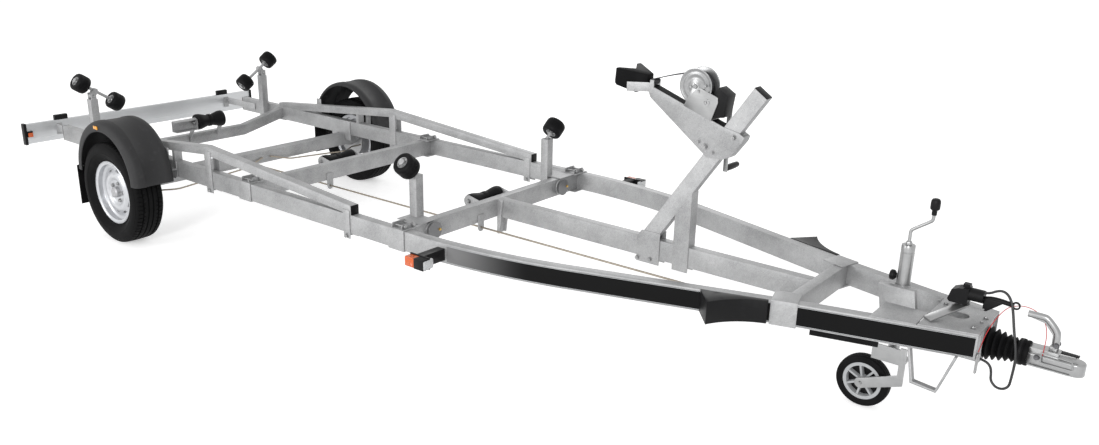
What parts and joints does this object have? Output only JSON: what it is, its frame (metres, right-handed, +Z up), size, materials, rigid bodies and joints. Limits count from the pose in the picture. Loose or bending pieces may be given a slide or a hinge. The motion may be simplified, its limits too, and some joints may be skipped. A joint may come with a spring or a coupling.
{
  "type": "boat trailer",
  "caption": "Unladen single-axle boat trailer with tilting roller cradles, keel rollers, a winch post and a jockey wheel under the drawbar.",
  "frame": {"origin": "on the ground, at the centre of the trailer's bounding box", "axes": "+X forward to the coupling, +Y to the left, +Z up"},
  "size_m": [6.52, 2.112, 1.3631],
  "materials": {
    "amber_lens": "clear amber, gloss",
    "black_plastic": "moulded, fine grain",
    "black_rubber": "smooth, matt",
    "cast": "machined and cast, matt",
    "galvanised": "hot-dip galvanised, dull silver grey",
    "red_cable": "red sheath",
    "red_lens": "clear red, gloss",
    "silver_rim": "silver lacquer, satin",
    "tyre": "road tyre",
    "webbing": "woven webbing",
    "white_board": "bare aluminium, satin",
    "zinc": "zinc plated, satin"
  },
  "bodies": {
    "chassis": {"amber_lenses": "amber_lens", "axle_beam": "galvanised", "bellows": "black_rubber", "bow_stop": "black_rubber", "brake_linkage": "zinc", "breakaway_cable": "red_cable", "coupling_handle": "zinc", "coupling_head": "zinc", "cross_beams": "galvanised", "damper": "black_rubber", "end_caps": "black_plastic", "gear_case": "black_plastic", "grab_strap": "galvanised", "hand_lever": "zinc", "jockey_bracket": "galvanised", "jockey_tube": "zinc", "keel_beam": "galvanised", "keel_roller_brackets": "galvanised", "lamp_housings": "black_plastic", "light_board": "white_board", "mud_flaps": "black_rubber", "mudguards": "black_plastic", "overrun_housing": "galvanised", "plug": "black_plastic", "plug_cable": "black_rubber", "rail_brackets": "galvanised", "rail_clamps": "galvanised", "red_lenses": "red_lens", "roller_posts": "galvanised", "side_rails": "galvanised", "swing_arms": "galvanised", "truss_rails": "galvanised", "wheel_chocks": "black_plastic", "winch_crank": "zinc", "winch_drum": "zinc", "winch_frame": "zinc", "winch_head": "galvanised", "winch_post": "galvanised", "winch_strap": "webbing"},
    "wheel_left": {"hub_left": "cast", "rim_left": "silver_rim", "tyre_left": "tyre"},
    "cradle_left": {"cradle_left": "galvanised"},
    "front_roller_left": {"front_roller_left": "black_rubber"},
    "rear_roller_inner_left": {"rear_roller_inner_left": "black_rubber"},
    "rear_roller_outer_left": {"rear_roller_outer_left": "black_rubber"},
    "wheel_right": {"hub_right": "cast", "rim_right": "silver_rim", "tyre_right": "tyre"},
    "cradle_right": {"cradle_right": "galvanised"},
    "front_roller_right": {"front_roller_right": "black_rubber"},
    "rear_roller_inner_right": {"rear_roller_inner_right": "black_rubber"},
    "rear_roller_outer_right": {"rear_roller_outer_right": "black_rubber"},
    "jockey_leg": {"jockey_leg": "zinc"},
    "jockey_fork": {"jockey_fork": "zinc"},
    "jockey_wheel": {"jockey_rim": "black_plastic", "jockey_tyre": "black_rubber"},
    "keel_roller_front": {"keel_roller_front": "black_rubber"},
    "keel_roller_middle": {"keel_roller_middle": "black_rubber"},
    "keel_roller_rear": {"keel_roller_rear": "black_rubber"}
  },
  "joints": [
    {"name": "wheel_left_spin", "type": "hinge", "parent": "chassis", "child": "wheel_left", "pos_m": [-1.885, 0.95, 0.3145], "axis": [0, 1, 0], "continuous": true},
    {"name": "cradle_left_tilt", "type": "hinge", "parent": "chassis", "child": "cradle_left", "pos_m": [-2.685, 0.675, 0.757], "axis": [1, 0, 0], "range_deg": [-12, 12]},
    {"name": "rear_roller_inner_left_spin", "type": "hinge", "parent": "cradle_left", "child": "rear_roller_inner_left", "pos_m": [-2.685, 0.51779, 0.6968], "axis": [0, 0.829, 0.5592], "continuous": true},
    {"name": "rear_roller_outer_left_spin", "type": "hinge", "parent": "cradle_left", "child": "rear_roller_outer_left", "pos_m": [-2.685, 0.73997, 0.84666], "axis": [0, 0.829, 0.5592], "continuous": true},
    {"name": "front_roller_left_spin", "type": "hinge", "parent": "chassis", "child": "front_roller_left", "pos_m": [0.26, 0.59369, 0.78797], "axis": [0, 0.766, 0.6428], "continuous": true},
    {"name": "wheel_right_spin", "type": "hinge", "parent": "chassis", "child": "wheel_right", "pos_m": [-1.885, -0.95, 0.3145], "axis": [0, 1, 0], "continuous": true},
    {"name": "cradle_right_tilt", "type": "hinge", "parent": "chassis", "child": "cradle_right", "pos_m": [-2.685, -0.675, 0.757], "axis": [1, 0, 0], "range_deg": [-12, 12]},
    {"name": "rear_roller_inner_right_spin", "type": "hinge", "parent": "cradle_right", "child": "rear_roller_inner_right", "pos_m": [-2.685, -0.51779, 0.6968], "axis": [0, -0.829, 0.5592], "continuous": true},
    {"name": "rear_roller_outer_right_spin", "type": "hinge", "parent": "cradle_right", "child": "rear_roller_outer_right", "pos_m": [-2.685, -0.73997, 0.84666], "axis": [0, -0.829, 0.5592], "continuous": true},
    {"name": "front_roller_right_spin", "type": "hinge", "parent": "chassis", "child": "front_roller_right", "pos_m": [0.26, -0.59369, 0.78797], "axis": [0, -0.766, 0.6428], "continuous": true},
    {"name": "keel_roller_middle_spin", "type": "hinge", "parent": "chassis", "child": "keel_roller_middle", "pos_m": [-0.997, 0, 0.495], "axis": [0, 1, 0], "continuous": true},
    {"name": "keel_roller_front_spin", "type": "hinge", "parent": "chassis", "child": "keel_roller_front", "pos_m": [0.243, 0, 0.495], "axis": [0, 1, 0], "continuous": true},
    {"name": "keel_roller_rear_spin", "type": "hinge", "parent": "chassis", "child": "keel_roller_rear", "pos_m": [-2.394, 0, 0.53], "axis": [0, 1, 0], "continuous": true},
    {"name": "jockey_height", "type": "slide", "parent": "chassis", "child": "jockey_leg", "axis": [0, 0, 1], "range_m": [-0.1, 0.06]},
    {"name": "jockey_swivel", "type": "hinge", "parent": "jockey_leg", "child": "jockey_fork", "pos_m": [2.555, 0, 0.263], "axis": [0, 0, 1], "continuous": true},
    {"name": "jockey_wheel_spin", "type": "hinge", "parent": "jockey_fork", "child": "jockey_wheel", "pos_m": [2.448, 0, 0.117], "axis": [0, 1, 0], "continuous": true}
  ]
}
